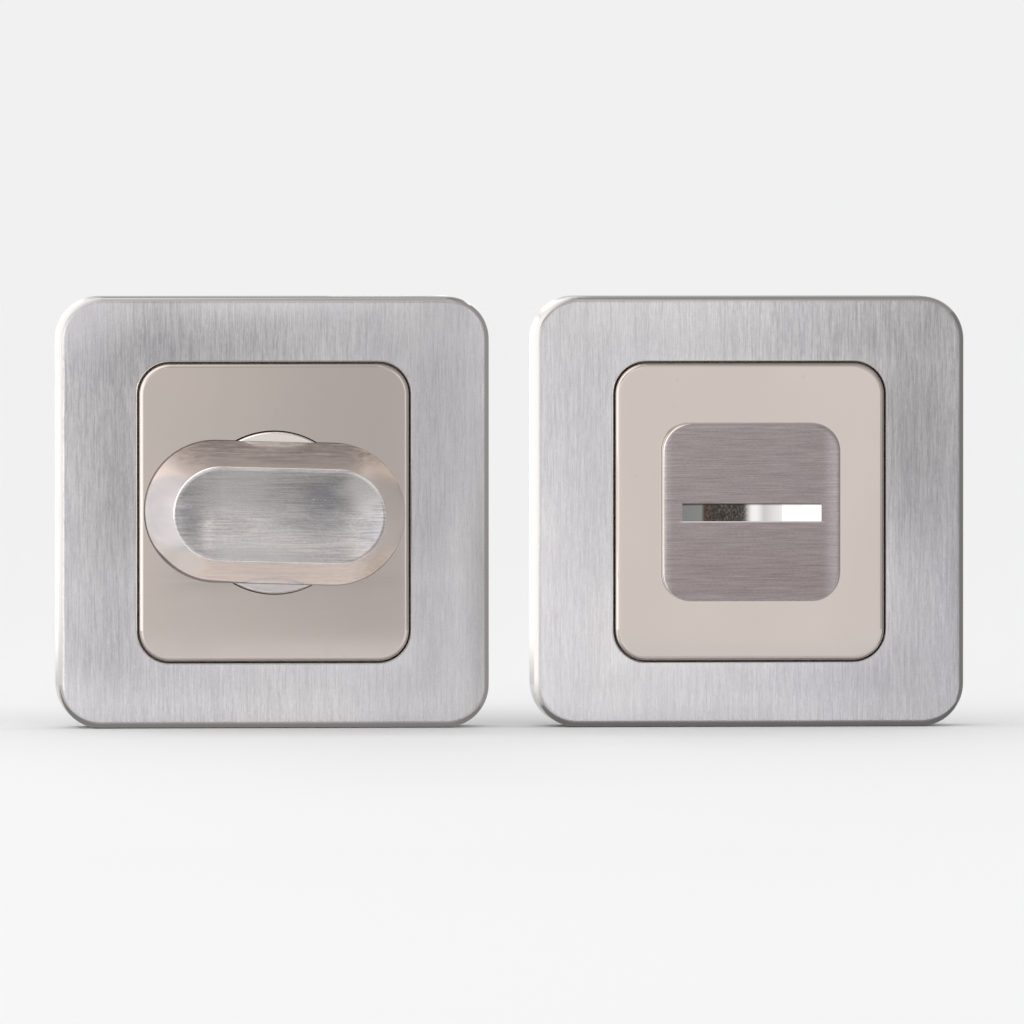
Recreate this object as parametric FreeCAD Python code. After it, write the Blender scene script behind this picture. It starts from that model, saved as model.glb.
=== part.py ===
import FreeCAD, Part
import math
import os

from FreeCAD import Vector

os.makedirs("parts", exist_ok=True)

# A two-sided bathroom door lock: a thumb turn on a square rose, and a coin release on a matching rose.
# Lengths are in millimetres and angles in degrees.
# Each half is drawn lying on its back, with the door face at z = 0 and z rising towards the hand.
# At the end it is stood up, so that the door face is the plane y = 0 and the hand comes from -Y.

# Rose cover: a square frame with a window
rose_side = 52.0
rose_corner = 5.2
rose_edge_round = 0.8
frame_wall = 1.6
frame_front = 2.0
halves_gap = 5.5

# Insert: the plate that fills the window, with a lip behind the frame
insert_width = 32.5
insert_height = 35.8
insert_corner = 3.7
insert_edge_round = 0.5
insert_proud = 0.8
insert_wall = 1.6
insert_lip = 2.0
insert_lip_thickness = 2.0
window_gap = 0.2
window_edge_round = 0.25

# Base plate: a casting with a rim, ribs and bosses at its back
base_thickness = 5.0
base_gap = 0.15
base_rim = 2.0
base_web = 2.0
base_rib = 3.0
boss_wall = 1.4

# Grip of the thumb turn: a tapered racetrack with a dished face
grip_length = 31.5
grip_width = 17.3
grip_height = 12.0
grip_taper = 3.0
grip_lift = 1.5
grip_foot_round = 0.3
rim_width = 0.4
rim_round = 0.25
dish_depth = 1.2

# Release button: a square pad with a coin slot
button_side = 21.5
button_corner = 3.4
button_edge_round = 0.5
button_lift = 0.3
button_height = 2.2
coin_slot_length = 16.9
coin_slot_width = 2.15
coin_slot_depth = 2.0

# Neck and shank, alike on both halves
neck_diameter = 19.5
neck_gap = 0.15
neck_edge_round = 0.3
shank_diameter = 11.0
shank_setback = 0.15
shank_tail = 0.3
axial_play = 0.1

# Flanged bush that the shank turns in
running_gap = 0.08
bush_wall = 0.92
bush_seat_gap = 0.03
bush_flange_width = 1.0
bush_flange_thickness = 1.0

# Thrust washer and spring clip behind the base
washer_diameter = 17.0
washer_thickness = 0.5
circlip_thickness = 1.0
circlip_width = 1.6
circlip_slack = 0.05
circlip_groove = 0.25
circlip_opening = 50.0
circlip_ear_diameter = 2.8
circlip_ear_hole = 1.2
recess_room = 1.5

# Quarter-turn stop: a lug under the neck runs in a groove in the base
# The thumb turn rests a little clockwise of its first stop, where its grip is level
turn_angle = 90.0
turn_rest_angle = 1.5
lug_angle = 30.0
lug_width = 1.6
lug_setback = 0.25
lug_gap = 0.2
stop_gap_angle = 1.0
stop_floor = 1.2

# Square spindle
spindle_side = 6.0
spindle_length = 60.0
spindle_chamfer = 0.6
socket_gap = 0.05
socket_depth = 9.0

# Through bolts and the tapped pillars that they meet
bolt_spacing = 38.0
bolt_diameter = 4.0
bolt_thread_diameter = 3.9
bolt_length = 45.0
bolt_tip_chamfer = 0.5
bolt_head_diameter = 7.0
bolt_head_height = 2.6
bolt_gap = 0.15
head_sink = 0.2
pillar_diameter = 8.0
pillar_length = 10.0
pillar_bore = 3.3
pillar_relief = 0.4

# Wood screws on one diagonal of each base, their heads covered by the insert's lip
wood_screw_diameter = 3.5
wood_screw_head = 7.0
wood_screw_length = 20.0
wood_screw_point = 4.0
screw_cover = 0.2
cross_recess_width = 0.9
cross_recess_length = 3.6
cross_recess_depth = 1.4

# Bent spring strips that hold the cover on the base
clip_width = 8.0
clip_strip = 0.4
clip_notch = 1.8
clip_bend_radius = 0.5
clip_reach = 0.35
clip_foot = 0.6
clip_slack = 0.02
clip_side_gap = 0.4
clip_groove_half_height = 1.2
clip_groove_room = 0.15

# Levels above the door face
lip_level = base_thickness + insert_lip_thickness
frame_face = lip_level + frame_front
insert_face = frame_face + insert_proud
grip_foot = insert_face + grip_lift
grip_top = grip_foot + grip_height
button_foot = insert_face + button_lift
button_face = button_foot + button_height
neck_foot = base_thickness + bush_flange_thickness + axial_play / 2
circlip_level = shank_setback + shank_tail + circlip_slack
washer_level = circlip_level + circlip_thickness
recess_depth = washer_level + washer_thickness + axial_play / 2
stop_groove_depth = base_thickness - recess_depth - stop_floor
socket_end = shank_setback + socket_depth

# Radii and sides that follow from the fits
base_side = rose_side - 2 * (frame_wall + base_gap)
base_corner = rose_corner - frame_wall - base_gap
shank_radius = shank_diameter / 2
bush_bore_radius = shank_radius + running_gap
bush_radius = bush_bore_radius + bush_wall
neck_radius = neck_diameter / 2
recess_radius = washer_diameter / 2 + recess_room
lug_outer_radius = neck_radius - lug_setback
lug_inner_radius = lug_outer_radius - lug_width
socket_side = spindle_side + 2 * socket_gap
bolt_x = bolt_spacing / 2
bolt_seat = base_thickness - head_sink - bolt_head_height
bolt_boss_radius = bolt_head_diameter / 2 + bolt_gap + boss_wall
screw_inset = insert_lip - wood_screw_head / 2 - screw_cover
screw_x = insert_width / 2 + screw_inset
screw_y = insert_height / 2 + screw_inset
screw_places = ((screw_x, screw_y), (-screw_x, -screw_y))
notch_wall = base_side / 2 - clip_notch
clip_bend_level = base_thickness - clip_bend_radius - clip_strip
clip_bulge_level = (clip_bend_level + clip_foot) / 2
overcut = 1.0


def rounded_outline(width, height, corner):
    """Outline of a rectangle with round corners, centred on the origin."""
    x = width / 2
    y = height / 2
    nook = corner * (1 - math.sqrt(0.5))
    edges = []
    for sx, sy in ((1, 1), (-1, 1), (-1, -1), (1, -1)):
        on_side = Vector(sx * x, sy * (y - corner), 0)
        on_cap = Vector(sx * (x - corner), sy * y, 0)
        middle = Vector(sx * (x - nook), sy * (y - nook), 0)
        ends = (on_side, on_cap) if sx * sy > 0 else (on_cap, on_side)
        if edges:
            edges.append(Part.makeLine(edges[-1].lastVertex(True).Point, ends[0]))
        edges.append(Part.Arc(ends[0], middle, ends[1]).toShape())
    edges.append(Part.makeLine(edges[-1].lastVertex(True).Point, edges[0].firstVertex(True).Point))
    return Part.Wire(edges)


def rounded_block(width, height, corner, low, high):
    """Upright prism with round corners, from level low to level high."""
    face = Part.Face(rounded_outline(width, height, corner))
    face.translate(Vector(0, 0, low))
    return face.extrude(Vector(0, 0, high - low))


def box(x_size, y_size, low, high, x=0.0, y=0.0):
    """Upright box centred on (x, y)."""
    return Part.makeBox(x_size, y_size, high - low, Vector(x - x_size / 2, y - y_size / 2, low))


def disc(radius, low, high, x=0.0, y=0.0):
    """Upright cylinder centred on (x, y)."""
    return Part.makeCylinder(radius, high - low, Vector(x, y, low))


def ring(inner_radius, outer_radius, low, high):
    return disc(outer_radius, low, high).cut(disc(inner_radius, low - overcut, high + overcut))


def sector(inner_radius, outer_radius, low, high, start, sweep):
    """Part of a ring, from angle start through angle sweep."""
    up = Vector(0, 0, 1)
    outer = Part.makeCylinder(outer_radius, high - low, Vector(0, 0, low), up, sweep)
    piece = outer.cut(disc(inner_radius, low - overcut, high + overcut))
    piece.rotate(Vector(0, 0, 0), up, start)
    return piece


def edges_at(shape, level):
    """Edges that lie wholly in the plane z = level."""
    close = 1e-4
    flat = [e for e in shape.Edges if e.BoundBox.ZLength < close]
    return [e for e in flat if abs(e.BoundBox.ZMin - level) < close]


def grip_blank():
    """Tapered racetrack along x: two cones joined by a wedge."""
    x = (grip_length - grip_width) / 2
    foot_half = grip_width / 2
    top_half = foot_half - grip_taper
    corners = ((-foot_half, grip_foot), (foot_half, grip_foot), (top_half, grip_top), (-top_half, grip_top))
    points = [Vector(-x, y, z) for y, z in corners]
    wedge = Part.Face(Part.makePolygon(points + points[:1])).extrude(Vector(2 * x, 0, 0))
    cones = []
    for end in (-x, x):
        cones.append(Part.makeCone(foot_half, top_half, grip_height, Vector(end, 0, grip_foot)))
    return wedge.fuse(cones).removeSplitter()


def frame():
    """Square cover: side walls, a front with the window, and grooves for the spring strips."""
    shell = rounded_block(rose_side, rose_side, rose_corner, 0, frame_face)
    shell = shell.makeFillet(rose_edge_round, edges_at(shell, frame_face))
    inner_side = rose_side - 2 * frame_wall
    shell = shell.cut(rounded_block(inner_side, inner_side, rose_corner - frame_wall, -overcut, lip_level))
    window_width = insert_width + 2 * window_gap
    window_height = insert_height + 2 * window_gap
    window_corner = insert_corner + window_gap
    shell = shell.cut(rounded_block(window_width, window_height, window_corner, 0, frame_face + overcut))
    in_window = [e for e in edges_at(shell, frame_face) if e.BoundBox.YMax <= window_height / 2 + window_gap]
    in_window = [e for e in in_window if abs(e.CenterOfMass.x) <= window_width / 2]
    shell = shell.makeFillet(window_edge_round, in_window)
    groove_width = clip_width + 2 * clip_side_gap
    groove_span = inner_side + 2 * (clip_reach + clip_groove_room)
    low = clip_bulge_level - clip_groove_half_height
    high = clip_bulge_level + clip_groove_half_height
    return shell.cut(box(groove_width, groove_span, low, high))


def insert():
    """Window plate: a raised panel hollow at the back, its lip, and the hole for the neck."""
    panel = rounded_block(insert_width, insert_height, insert_corner, base_thickness, insert_face)
    panel = panel.makeFillet(insert_edge_round, edges_at(panel, insert_face))
    lip_width = insert_width + 2 * insert_lip
    lip_height = insert_height + 2 * insert_lip
    lip = rounded_block(lip_width, lip_height, insert_corner + insert_lip, base_thickness, lip_level)
    hollow_width = insert_width - 2 * insert_wall
    hollow_height = insert_height - 2 * insert_wall
    hollow_corner = insert_corner - insert_wall
    hollow_top = insert_face - insert_wall
    hollow = rounded_block(hollow_width, hollow_height, hollow_corner, base_thickness - overcut, hollow_top)
    neck_hole = disc(neck_radius + neck_gap, base_thickness, insert_face + overcut)
    return panel.fuse(lip).removeSplitter().cut(hollow).cut(neck_hole)


def base_pockets():
    """The four hollows at the back of a base, between its rim, ribs and bosses."""
    top = base_thickness - base_web
    hollow_side = base_side - 2 * base_rim
    hollow = rounded_block(hollow_side, hollow_side, base_corner, -overcut, top)
    kept = [
        box(base_rib, base_side, -2 * overcut, top + overcut),
        box(base_side, base_rib, -2 * overcut, top + overcut),
        disc(recess_radius + boss_wall, -2 * overcut, top + overcut),
    ]
    pad_depth = clip_notch + boss_wall
    pad_width = clip_width + 2 * (clip_side_gap + boss_wall)
    for side in (-1, 1):
        kept.append(disc(bolt_boss_radius, -2 * overcut, top + overcut, side * bolt_x))
        pad_y = side * (base_side - pad_depth) / 2
        kept.append(box(pad_width, pad_depth, -2 * overcut, top + overcut, 0, pad_y))
    for x, y in screw_places:
        kept.append(disc(wood_screw_head / 2 + boss_wall, -2 * overcut, top + overcut, x, y))
    return hollow.cut(kept)


def screw_profile(grow=0.0):
    """Half section of a countersunk head and its plain body, grown by a clearance."""
    head = wood_screw_head / 2 + grow
    body = wood_screw_diameter / 2 + grow
    top = base_thickness - head_sink
    return head, body, top, top - (head - body)


def base_plate():
    """Base casting without the means of joining the halves."""
    plate = rounded_block(base_side, base_side, base_corner, 0, base_thickness)
    plate = plate.cut(base_pockets())
    stop_sweep = turn_angle + lug_angle + 2 * stop_gap_angle
    stop_inner = lug_inner_radius - lug_gap
    stop_outer = lug_outer_radius + lug_gap
    stop_low = base_thickness - stop_groove_depth
    cuts = [
        disc(recess_radius, -overcut, recess_depth),
        disc(bush_radius + bush_seat_gap, 0, base_thickness + overcut),
        sector(stop_inner, stop_outer, stop_low, base_thickness + overcut, 90 - stop_sweep / 2, stop_sweep),
    ]
    head, body, top, neck = screw_profile(bolt_gap)
    for x, y in screw_places:
        sink = Part.makeCone(body, head, top - neck, Vector(x, y, neck))
        cuts += [disc(body, -overcut, neck + overcut, x, y), sink, disc(head, top, top + overcut, x, y)]
    notch_width = clip_width + 2 * clip_side_gap
    for side in (-1, 1):
        notch_y = side * (notch_wall + clip_notch)
        cuts.append(box(notch_width, 2 * clip_notch, -overcut, base_thickness + overcut, 0, notch_y))
    return plate.cut(cuts)


def turn_base():
    """Base with sunk holes for the through bolts."""
    cuts = []
    top = base_thickness + overcut
    for x in (-bolt_x, bolt_x):
        cuts.append(disc(bolt_diameter / 2 + bolt_gap, -overcut, top, x))
        cuts.append(disc(bolt_head_diameter / 2 + bolt_gap, bolt_seat, top, x))
    return base_plate().cut(cuts)


def release_base():
    """Base with two tapped pillars at its back, each in a shallow relief ring."""
    plate = base_plate()
    radius = pillar_diameter / 2
    bore_end = base_thickness - base_web
    for x in (-bolt_x, bolt_x):
        plate = plate.cut(disc(radius + pillar_relief, -overcut, pillar_relief, x))
        pillar = disc(radius, -pillar_length, bore_end, x)
        plate = plate.fuse(pillar).removeSplitter()
        plate = plate.cut(disc(pillar_bore / 2, -pillar_length - overcut, bore_end, x))
    return plate


def shaft(head_foot, lug_middle):
    """Neck, stop lug and shank under a grip or button whose underside is at head_foot."""
    neck = disc(neck_radius, neck_foot, head_foot)
    neck = neck.makeFillet(neck_edge_round, edges_at(neck, head_foot))
    shank = disc(shank_radius, shank_setback, neck_foot)
    lug_foot = base_thickness - stop_groove_depth + lug_gap
    lug_top = neck_foot + overcut
    lug_start = lug_middle - lug_angle / 2
    lug = sector(lug_inner_radius, lug_outer_radius, lug_foot, lug_top, lug_start, lug_angle)
    return neck.fuse([shank, lug])


def shaft_cuts():
    """Square socket for the spindle and the groove for the spring clip."""
    socket = box(socket_side, socket_side, 0, socket_end)
    groove_low = circlip_level - circlip_slack
    groove_high = washer_level + circlip_slack
    groove = ring(shank_radius - circlip_groove, shank_radius + overcut, groove_low, groove_high)
    return [socket, groove]


def dish():
    """Round-ended scoop that hollows the grip's face."""
    half_width = grip_width / 2 - grip_taper - rim_width
    radius = (half_width**2 + dish_depth**2) / (2 * dish_depth)
    x = (grip_length - grip_width) / 2
    level = grip_top - dish_depth + radius
    axis_start = Vector(-x - radius, 0, level)
    axis_end = Vector(x + radius, 0, level)
    bend = radius * math.sqrt(0.5)
    left = Part.Arc(axis_start, Vector(-x - bend, 0, level - bend), Vector(-x, 0, level - radius)).toShape()
    floor = Part.makeLine(Vector(-x, 0, level - radius), Vector(x, 0, level - radius))
    right = Part.Arc(Vector(x, 0, level - radius), Vector(x + bend, 0, level - bend), axis_end).toShape()
    section = Part.Face(Part.Wire([left, floor, right, Part.makeLine(axis_end, axis_start)]))
    return section.revolve(Vector(0, 0, level), Vector(1, 0, 0), 360)


def thumb_turn():
    """Tapered dished grip in one piece with its neck, lug and shank."""
    grip = grip_blank()
    grip = grip.makeFillet(rim_round, edges_at(grip, grip_top))
    grip = grip.makeFillet(grip_foot_round, edges_at(grip, grip_foot))
    grip = grip.cut(dish())
    lug_middle = 90 + turn_angle / 2
    return grip.fuse(shaft(grip_foot, lug_middle)).removeSplitter().cut(shaft_cuts())


def coin_slot():
    """Slot with a round floor, as a coin's edge would sweep it."""
    half = coin_slot_length / 2
    radius = (half**2 + coin_slot_depth**2) / (2 * coin_slot_depth)
    level = button_face - coin_slot_depth + radius
    return Part.makeCylinder(radius, coin_slot_width, Vector(0, -coin_slot_width / 2, level), Vector(0, 1, 0))


def release_button():
    """Square pad with its coin slot, in one piece with its neck, lug and shank."""
    pad = rounded_block(button_side, button_side, button_corner, button_foot, button_face)
    pad = pad.makeFillet(button_edge_round, edges_at(pad, button_face))
    lug_middle = 90 - turn_angle / 2
    body = pad.fuse(shaft(button_foot, lug_middle)).removeSplitter()
    return body.cut(shaft_cuts() + [coin_slot()])


def bush():
    """Flanged sleeve: the flange lies on the base's front."""
    sleeve = disc(bush_radius, recess_depth, base_thickness)
    flange_level = base_thickness + bush_flange_thickness
    flange = disc(bush_radius + bush_flange_width, base_thickness, flange_level)
    bore = disc(bush_bore_radius, 0, flange_level + overcut)
    return sleeve.fuse(flange).removeSplitter().cut(bore)


def washer():
    return ring(bush_bore_radius, washer_diameter / 2, washer_level, washer_level + washer_thickness)


def circlip():
    """Open spring ring with two ears, each with a hole for pliers."""
    inner = shank_radius - circlip_groove + circlip_slack
    outer = inner + circlip_width
    top = circlip_level + circlip_thickness
    clip = sector(inner, outer, circlip_level, top, circlip_opening / 2 - 90, 360 - circlip_opening)
    ear_distance = outer + circlip_ear_hole / 4
    holes = []
    for side in (-1, 1):
        ear_turn = math.degrees(circlip_ear_diameter / 2 / ear_distance)
        turn = math.radians(-90 + side * (circlip_opening / 2 + ear_turn))
        x = ear_distance * math.cos(turn)
        y = ear_distance * math.sin(turn)
        clip = clip.fuse(disc(circlip_ear_diameter / 2, circlip_level, top, x, y))
        holes.append(disc(circlip_ear_hole / 2, 0, top + overcut, x, y))
    return clip.removeSplitter().cut(holes)


def spindle():
    """Square bar with chamfered ends, pushed home in the thumb turn's socket."""
    high = socket_end - socket_gap
    low = high - spindle_length
    bar = box(spindle_side, spindle_side, low, high)
    return bar.makeChamfer(spindle_chamfer, edges_at(bar, low) + edges_at(bar, high))


def cross_recess(top, x, y):
    """Cross-shaped driver recess in a screw head."""
    low = top - cross_recess_depth
    high = top + overcut
    one = box(cross_recess_length, cross_recess_width, low, high, x, y)
    return one.fuse(box(cross_recess_width, cross_recess_length, low, high, x, y))


def through_bolts():
    bolts = []
    tip = bolt_seat - bolt_length
    head_top = bolt_seat + bolt_head_height
    for x in (-bolt_x, bolt_x):
        thread = disc(bolt_thread_diameter / 2, tip, 0, x)
        thread = thread.makeChamfer(bolt_tip_chamfer, edges_at(thread, tip))
        shoulder = disc(bolt_diameter / 2, 0, bolt_seat, x)
        head = disc(bolt_head_diameter / 2, bolt_seat, head_top, x)
        bolt = thread.fuse([shoulder, head]).removeSplitter()
        bolts.append(bolt.cut(cross_recess(head_top, x, 0)))
    return Part.makeCompound(bolts)


def wood_screws():
    head, body, top, neck = screw_profile()
    tip = top - wood_screw_length
    points = [
        Vector(0, 0, top),
        Vector(head, 0, top),
        Vector(body, 0, neck),
        Vector(body, 0, tip + wood_screw_point),
        Vector(0, 0, tip),
        Vector(0, 0, top),
    ]
    screw = Part.Face(Part.makePolygon(points)).revolve(Vector(0, 0, 0), Vector(0, 0, 1), 360)
    screw = screw.cut(cross_recess(top, 0, 0))
    screws = []
    for x, y in screw_places:
        placed = screw.copy()
        placed.translate(Vector(x, y, 0))
        screws.append(placed)
    return Part.makeCompound(screws)


def cover_clips():
    """A folded spring strip at the top and the bottom of the base, its bulge in the cover's groove."""
    inner = notch_wall + clip_strip / 2 + clip_slack
    outer = inner + 2 * clip_bend_radius
    bulge = base_side / 2 + base_gap + clip_reach - clip_strip / 2
    x = -clip_width / 2
    inner_foot = Vector(x, inner, clip_foot)
    inner_bend = Vector(x, inner, clip_bend_level)
    crown = Vector(x, inner + clip_bend_radius, clip_bend_level + clip_bend_radius)
    outer_bend = Vector(x, outer, clip_bend_level)
    tip = Vector(x, bulge, clip_bulge_level)
    outer_foot = Vector(x, outer, clip_foot)
    path = Part.Wire(
        [
            Part.makeLine(inner_foot, inner_bend),
            Part.Arc(inner_bend, crown, outer_bend).toShape(),
            Part.makeLine(outer_bend, tip),
            Part.makeLine(tip, outer_foot),
        ]
    )
    section = Part.Face(path.makeOffset2D(clip_strip / 2, 0, False, False))
    upper = section.extrude(Vector(clip_width, 0, 0))
    lower = upper.copy()
    lower.rotate(Vector(0, 0, 0), Vector(0, 0, 1), 180)
    return Part.makeCompound([upper, lower])


def at_rest(shape):
    """Turns a piece of the thumb turn clockwise from its first stop to where it rests."""
    turned = shape.copy()
    turned.rotate(Vector(0, 0, 0), Vector(0, 0, 1), -turn_rest_angle)
    return turned


def stand_up(shape, x):
    """Turns a half from lying on its back to hanging on the door, at distance x along it."""
    placed = shape.copy()
    placed.rotate(Vector(0, 0, 0), Vector(1, 0, 0), 90)
    placed.translate(Vector(x, 0, 0))
    return placed


turn_half = {
    "turn_base": turn_base(),
    "turn_frame": frame(),
    "turn_insert": insert(),
    "thumb_turn": at_rest(thumb_turn()),
    "turn_bush": bush(),
    "turn_washer": at_rest(washer()),
    "turn_circlip": at_rest(circlip()),
    "spindle": at_rest(spindle()),
    "turn_cover_clips": cover_clips(),
    "through_bolts": through_bolts(),
    "turn_wood_screws": wood_screws(),
}
release_half = {
    "release_base": release_base(),
    "release_frame": frame(),
    "release_insert": insert(),
    "release_button": release_button(),
    "release_bush": bush(),
    "release_washer": washer(),
    "release_circlip": circlip(),
    "release_cover_clips": cover_clips(),
    "release_wood_screws": wood_screws(),
}
release_x = rose_side + halves_gap

for half, x in ((turn_half, 0.0), (release_half, release_x)):
    for node, shape in half.items():
        placed = stand_up(shape, x)
        placed.exportStep(f"parts/{node}.step")
        print(node, len(placed.Solids), "solid(s)", round(placed.Volume, 1), "mm3", placed.isValid())
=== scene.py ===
import math

import bmesh
import bpy
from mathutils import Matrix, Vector


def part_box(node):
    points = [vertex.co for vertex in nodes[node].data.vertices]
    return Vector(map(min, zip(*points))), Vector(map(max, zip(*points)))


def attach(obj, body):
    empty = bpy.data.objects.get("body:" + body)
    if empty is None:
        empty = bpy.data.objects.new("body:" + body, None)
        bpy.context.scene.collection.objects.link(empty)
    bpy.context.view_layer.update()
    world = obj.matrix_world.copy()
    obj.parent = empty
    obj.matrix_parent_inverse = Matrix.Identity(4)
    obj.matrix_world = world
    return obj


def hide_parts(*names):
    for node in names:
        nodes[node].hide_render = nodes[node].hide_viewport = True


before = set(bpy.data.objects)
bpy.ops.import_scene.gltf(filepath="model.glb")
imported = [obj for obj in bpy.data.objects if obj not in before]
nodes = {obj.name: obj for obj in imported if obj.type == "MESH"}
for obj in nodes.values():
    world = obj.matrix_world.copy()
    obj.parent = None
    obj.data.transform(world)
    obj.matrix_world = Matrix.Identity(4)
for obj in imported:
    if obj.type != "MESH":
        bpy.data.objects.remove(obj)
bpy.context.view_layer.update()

mm = 0.001
print("frame loaded:", len(nodes), "nodes")


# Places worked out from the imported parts

def boxMiddle(node):
    low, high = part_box(node)
    return (low + high) / 2


coverLow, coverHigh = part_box("turn_frame")
lipLow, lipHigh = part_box("turn_insert")
turnMiddle = boxMiddle("turn_frame")
releaseMiddle = boxMiddle("release_frame")
lockMiddle = (turnMiddle + releaseMiddle) / 2
halves = (turnMiddle, releaseMiddle)
frameFace = coverLow.y          # front of the covers
plateFace = lipLow.y            # front of the window plates
floorLevel = coverLow.z
coverTop = coverHigh.z
lipWidth = 2.0 * mm             # how far a plate's lip goes behind its cover
windowHalf = Vector((lipHigh.x - lipLow.x, 0, lipHigh.z - lipLow.z)) / 2 - Vector((lipWidth, 0, lipWidth))


# Node helpers

def addNode(tree, kind, **settings):
    node = tree.nodes.new(kind)
    for key, value in settings.items():
        if key in node.inputs:
            node.inputs[key].default_value = value
        else:
            setattr(node, key, value)
    return node


def wire(tree, source, target):
    tree.links.new(source, target)


def setOrWire(tree, socket, value):
    if isinstance(value, tuple):
        socket.default_value = (*value, 1.0)
    elif isinstance(value, (int, float)):
        socket.default_value = value
    elif value is not None:
        wire(tree, value, socket)


def mathNode(tree, operation, a, b=None):
    node = addNode(tree, "ShaderNodeMath", operation=operation)
    setOrWire(tree, node.inputs[0], a)
    setOrWire(tree, node.inputs[1], b)
    return node.outputs[0]


def times(tree, *values):
    product = values[0]
    for value in values[1:]:
        product = mathNode(tree, "MULTIPLY", product, value)
    return product


def inverse(tree, value):
    return mathNode(tree, "SUBTRACT", 1.0, value)


def rangeNode(tree, value, fromLow, fromHigh, toLow=0.0, toHigh=1.0, smooth=False):
    node = addNode(tree, "ShaderNodeMapRange", interpolation_type="SMOOTHSTEP" if smooth else "LINEAR")
    wire(tree, value, node.inputs["Value"])
    for key, number in (("From Min", fromLow), ("From Max", fromHigh), ("To Min", toLow), ("To Max", toHigh)):
        node.inputs[key].default_value = number
    return node.outputs["Result"]


def mixColour(tree, amount, first, second, blend="MIX"):
    node = addNode(tree, "ShaderNodeMix", data_type="RGBA", blend_type=blend)
    for socket, value in zip((node.inputs[0], node.inputs[6], node.inputs[7]), (amount, first, second)):
        setOrWire(tree, socket, value)
    return node.outputs[2]


def mixValue(tree, amount, first, second):
    node = addNode(tree, "ShaderNodeMix", data_type="FLOAT")
    for socket, value in zip((node.inputs[0], node.inputs[2], node.inputs[3]), (amount, first, second)):
        setOrWire(tree, socket, value)
    return node.outputs[0]


def scaledNoise(tree, place, scale, detail=2.0, roughness=0.5):
    stretch = addNode(tree, "ShaderNodeVectorMath", operation="MULTIPLY")
    wire(tree, place, stretch.inputs[0])
    if isinstance(scale, tuple):
        stretch.inputs[1].default_value = scale
    else:
        wire(tree, scale, stretch.inputs[1])
    noise = addNode(tree, "ShaderNodeTexNoise", Scale=1.0, Detail=detail, Roughness=roughness)
    wire(tree, stretch.outputs[0], noise.inputs["Vector"])
    return noise.outputs["Fac"]


def rampFrom(tree, value, stops, low, high):
    ramp = tree.nodes.new("ShaderNodeValToRGB")
    wire(tree, rangeNode(tree, value, low, high), ramp.inputs[0])
    while len(ramp.color_ramp.elements) < len(stops):
        ramp.color_ramp.elements.new(0.5)
    for element, (at, level) in zip(ramp.color_ramp.elements, stops):
        element.position = (at - low) / (high - low)
        element.color = (level / 2, level / 2, level / 2, 1.0)   # halved, since a ramp ends at 1
    return ramp.outputs[0]


def newGroup(name, inputs, outputs):
    group = bpy.data.node_groups.new(name, "ShaderNodeTree")
    for label, kind, value in inputs:
        socket = group.interface.new_socket(label, in_out="INPUT", socket_type=kind)
        if value is not None:
            socket.default_value = value
    for label in outputs:
        group.interface.new_socket(label, in_out="OUTPUT", socket_type="NodeSocketFloat")
    return group, group.nodes.new("NodeGroupInput"), group.nodes.new("NodeGroupOutput")


def placeGroup(tree, group, place, **values):
    node = addNode(tree, "ShaderNodeGroup", node_tree=group)
    wire(tree, place, node.inputs["Place"])
    for key, value in values.items():
        node.inputs[key.replace("_", " ")].default_value = value
    return node.outputs


# Shared effects

def makeBrushLines():
    # Lines left by a belt: straight fine strokes broken up by grit, faint bands and slow uneven patches
    group, given, result = newGroup(
        "brushLines",
        [("Place", "NodeSocketVector", None), ("Fine Scale", "NodeSocketVector", (6000, 6000, 260)),
         ("Grit Scale", "NodeSocketVector", (5200, 5200, 2600)), ("Band Scale", "NodeSocketVector", (900, 900, 60)),
         ("Patch Scale", "NodeSocketVector", (60, 60, 25))],
        ["Streak", "Patch", "Height"],
    )
    place = given.outputs["Place"]
    fine = scaledNoise(group, place, given.outputs["Fine Scale"], detail=1.0, roughness=0.6)
    grit = scaledNoise(group, place, given.outputs["Grit Scale"], detail=1.0)
    band = scaledNoise(group, place, given.outputs["Band Scale"], detail=2.0)
    patch = scaledNoise(group, place, given.outputs["Patch Scale"], detail=2.0)
    strokes = mathNode(group, "ADD", times(group, fine, 0.52), times(group, grit, 0.28))
    both = mathNode(group, "ADD", strokes, times(group, band, 0.20))
    wire(group, rangeNode(group, both, 0.32, 0.68), result.inputs["Streak"])
    wire(group, rangeNode(group, patch, 0.35, 0.65, smooth=True), result.inputs["Patch"])
    wire(group, fine, result.inputs["Height"])
    return group


def makeHandlingMarks():
    # Smudges, hairline scratches and specks on a polished face
    group, given, result = newGroup(
        "handlingMarks",
        [("Place", "NodeSocketVector", None), ("Hairline Scale", "NodeSocketVector", (260, 260, 3200)),
         ("Smudge Scale", "NodeSocketVector", (70, 70, 70)), ("Speck Scale", "NodeSocketFloat", 900.0)],
        ["Hairline", "Smudge", "Speck"],
    )
    place = given.outputs["Place"]
    lines = scaledNoise(group, place, given.outputs["Hairline Scale"], detail=2.0, roughness=0.65)
    smudge = scaledNoise(group, place, given.outputs["Smudge Scale"], detail=4.0, roughness=0.6)
    cells = group.nodes.new("ShaderNodeTexVoronoi")
    wire(group, place, cells.inputs["Vector"])
    wire(group, given.outputs["Speck Scale"], cells.inputs["Scale"])
    rare = scaledNoise(group, place, (430, 430, 430), detail=0.0)
    dots = rangeNode(group, cells.outputs["Distance"], 0.16, 0.07)
    wire(group, rangeNode(group, lines, 0.62, 0.74), result.inputs["Hairline"])
    wire(group, rangeNode(group, smudge, 0.35, 0.68, smooth=True), result.inputs["Smudge"])
    wire(group, times(group, dots, rangeNode(group, rare, 0.60, 0.66)), result.inputs["Speck"])
    return group


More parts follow.
